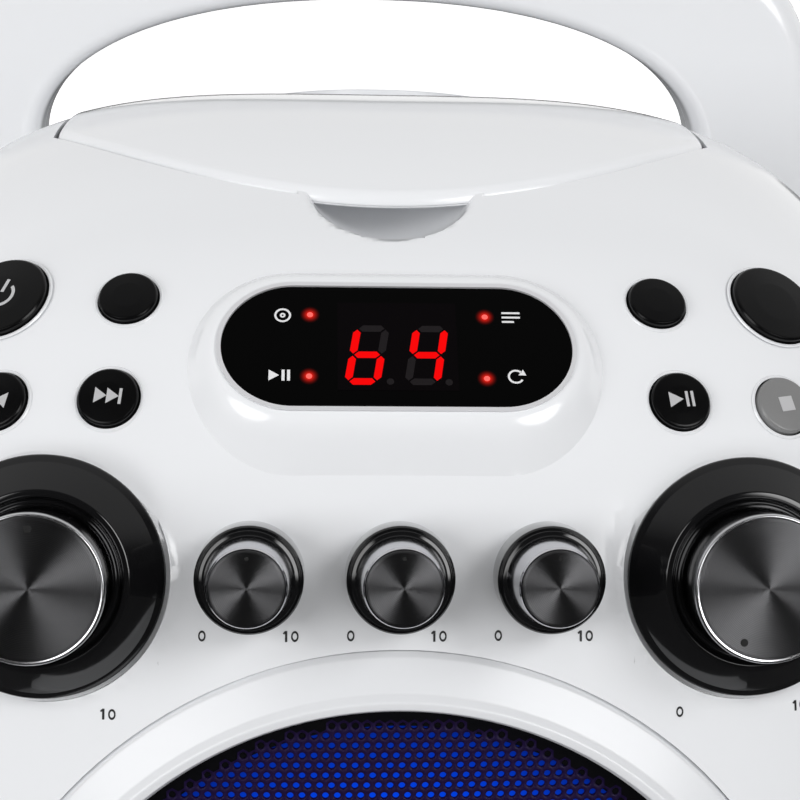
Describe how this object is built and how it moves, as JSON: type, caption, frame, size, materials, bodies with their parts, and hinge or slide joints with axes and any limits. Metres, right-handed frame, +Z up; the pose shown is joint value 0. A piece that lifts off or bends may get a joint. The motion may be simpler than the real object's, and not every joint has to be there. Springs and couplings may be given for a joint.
{
  "type": "karaoke machine with disc tray",
  "caption": "Domed tabletop karaoke machine with a hinged top lid over a disc recess, a round lit speaker, rotary knobs, push buttons, a small display and a hoop handle.",
  "frame": {"origin": "centre of the bounding box at floor level", "axes": "+Z up, -Y towards the front with the speaker, +X towards the right hand of someone facing the front"},
  "size_m": [0.2798, 0.2624, 0.3179],
  "materials": {
    "white_shell": "gloss",
    "white_gloss": "gloss",
    "ring_silver": "gloss",
    "grille_dark": "satin",
    "diffuser": "matte",
    "board_green": "matte",
    "blue_led": "matte",
    "dark_metal": "satin",
    "rubber_black": "matte",
    "cone_paper": "matte",
    "bright_trim": "polished",
    "dark_window": "gloss",
    "digit_body": "matte",
    "red_led": "gloss",
    "steel": "brushed",
    "black_plastic": "matte",
    "grey_plastic": "satin",
    "lens": "gloss",
    "gear_plastic": "satin",
    "brass_plate": "satin",
    "knob_graphite": "gloss",
    "knob_cap": "satin",
    "button_black": "gloss"
  },
  "bodies": {
    "housing": {"front_housing": "white_shell", "rear_housing": "white_shell", "speaker_ring": "ring_silver", "speaker_grille": "grille_dark", "light_diffuser": "diffuser", "light_board": "board_green", "light_leds": "blue_led", "speaker_frame": "dark_metal", "speaker_surround": "rubber_black", "speaker_cone": "cone_paper", "dust_cap": "cone_paper", "speaker_magnet": "dark_metal", "display_surround": "white_gloss", "window_trim": "bright_trim", "display_window": "dark_window", "digit_display": "digit_body", "indicator_leds": "red_led", "display_board": "board_green", "hinge_pins": "steel", "lid_switch": "black_plastic", "disc_tray": "grey_plastic", "spindle_motor": "steel", "mechanism_plate": "steel", "rubber_dampers": "rubber_black", "guide_rails": "steel", "sled_motor": "steel", "potentiometers": "steel", "volume_board": "board_green", "button_boards": "board_green", "main_board": "board_green", "mic_jacks": "black_plastic", "rca_jacks": "brass_plate", "power_inlet": "black_plastic", "rubber_feet": "rubber_black", "case_screws": "steel"},
    "mic_volume": {"mic_volume_knob": "knob_graphite", "mic_volume_cap": "knob_cap"},
    "master_volume": {"master_volume_knob": "knob_graphite", "master_volume_cap": "knob_cap"},
    "echo": {"echo_knob": "knob_graphite", "echo_cap": "knob_cap"},
    "talk_over": {"talk_over_knob": "knob_graphite", "talk_over_cap": "knob_cap"},
    "balance": {"balance_knob": "knob_graphite", "balance_cap": "knob_cap"},
    "power": {"power_button": "button_black"},
    "repeat": {"repeat_button": "button_black"},
    "previous": {"previous_button": "button_black"},
    "next": {"next_button": "button_black"},
    "program": {"program_button": "button_black"},
    "light": {"light_button": "button_black"},
    "play": {"play_button": "button_black"},
    "stop": {"stop_button": "button_black"},
    "lid": {"disc_lid": "white_gloss"},
    "disc_spin": {"turntable": "black_plastic"},
    "pickup": {"optical_pickup": "dark_metal", "pickup_lens": "lens"},
    "gear": {"sled_gear": "gear_plastic"},
    "pinion": {"motor_pinion": "gear_plastic"}
  },
  "joints": [
    {"name": "lid_hinge", "type": "hinge", "parent": "housing", "child": "lid", "pos_m": [0, 0.0952, 0.2535], "axis": [-1, 0, 0], "range_deg": [0, 63]},
    {"name": "disc_turn", "type": "hinge", "parent": "housing", "child": "disc_spin", "pos_m": [0, 0.0332, 0.244], "axis": [0, 0, 1], "continuous": true},
    {"name": "gear_turn", "type": "hinge", "parent": "housing", "child": "gear", "pos_m": [0.03, 0.0047, 0.229], "axis": [0, 0, 1], "range_deg": [-300, 30]},
    {"name": "pickup_slide", "type": "slide", "parent": "housing", "child": "pickup", "axis": [1, 0, 0], "range_m": [-0.002, 0.03]},
    {"name": "pinion_turn", "type": "hinge", "parent": "housing", "child": "pinion", "pos_m": [0.0175, 0.0047, 0.228], "axis": [0, 0, 1], "range_deg": [-90, 1160]},
    {"name": "mic_volume_turn", "type": "hinge", "parent": "housing", "child": "mic_volume", "pos_m": [-0.0695, -0.09394, 0.20051], "axis": [0, -0.9588, 0.284], "range_deg": [-150, 150]},
    {"name": "master_volume_turn", "type": "hinge", "parent": "housing", "child": "master_volume", "pos_m": [0.0695, -0.09394, 0.20051], "axis": [0, -0.9588, 0.284], "range_deg": [-300, 0]},
    {"name": "echo_turn", "type": "hinge", "parent": "housing", "child": "echo", "pos_m": [-0.0291, -0.0968, 0.202], "axis": [0, -0.9588, 0.284], "range_deg": [-150, 150]},
    {"name": "talk_over_turn", "type": "hinge", "parent": "housing", "child": "talk_over", "pos_m": [0, -0.0968, 0.202], "axis": [0, -0.9588, 0.284], "range_deg": [-150, 150]},
    {"name": "balance_turn", "type": "hinge", "parent": "housing", "child": "balance", "pos_m": [0.0291, -0.0968, 0.202], "axis": [0, -0.9588, 0.284], "range_deg": [-150, 150]},
    {"name": "power_press", "type": "slide", "parent": "housing", "child": "power", "axis": [0.2891, 0.5532, -0.7813], "range_m": [0, 0.001], "stiffness_N_per_m": 600, "springref_m": -0.0015},
    {"name": "repeat_press", "type": "slide", "parent": "housing", "child": "repeat", "axis": [0.0958, 0.6032, -0.7918], "range_m": [0, 0.001], "stiffness_N_per_m": 600, "springref_m": -0.0015},
    {"name": "previous_press", "type": "slide", "parent": "housing", "child": "previous", "axis": [0.2696, 0.7145, -0.6456], "range_m": [0, 0.001], "stiffness_N_per_m": 600, "springref_m": -0.0015},
    {"name": "next_press", "type": "slide", "parent": "housing", "child": "next", "axis": [0.1068, 0.7447, -0.6588], "range_m": [0, 0.001], "stiffness_N_per_m": 600, "springref_m": -0.0015},
    {"name": "program_press", "type": "slide", "parent": "housing", "child": "program", "axis": [-0.0958, 0.6032, -0.7918], "range_m": [0, 0.001], "stiffness_N_per_m": 600, "springref_m": -0.0015},
    {"name": "light_press", "type": "slide", "parent": "housing", "child": "light", "axis": [-0.2891, 0.5532, -0.7813], "range_m": [0, 0.001], "stiffness_N_per_m": 600, "springref_m": -0.0015},
    {"name": "play_press", "type": "slide", "parent": "housing", "child": "play", "axis": [-0.1068, 0.7447, -0.6588], "range_m": [0, 0.001], "stiffness_N_per_m": 600, "springref_m": -0.0015},
    {"name": "stop_press", "type": "slide", "parent": "housing", "child": "stop", "axis": [-0.2696, 0.7145, -0.6456], "range_m": [0, 0.001], "stiffness_N_per_m": 600, "springref_m": -0.0015}
  ],
  "couplings": [
    {"joint": "gear_turn", "follows": "pickup_slide", "rad_per_m": -166.67},
    {"joint": "pinion_turn", "follows": "pickup_slide", "rad_per_m": 666.67}
  ]
}
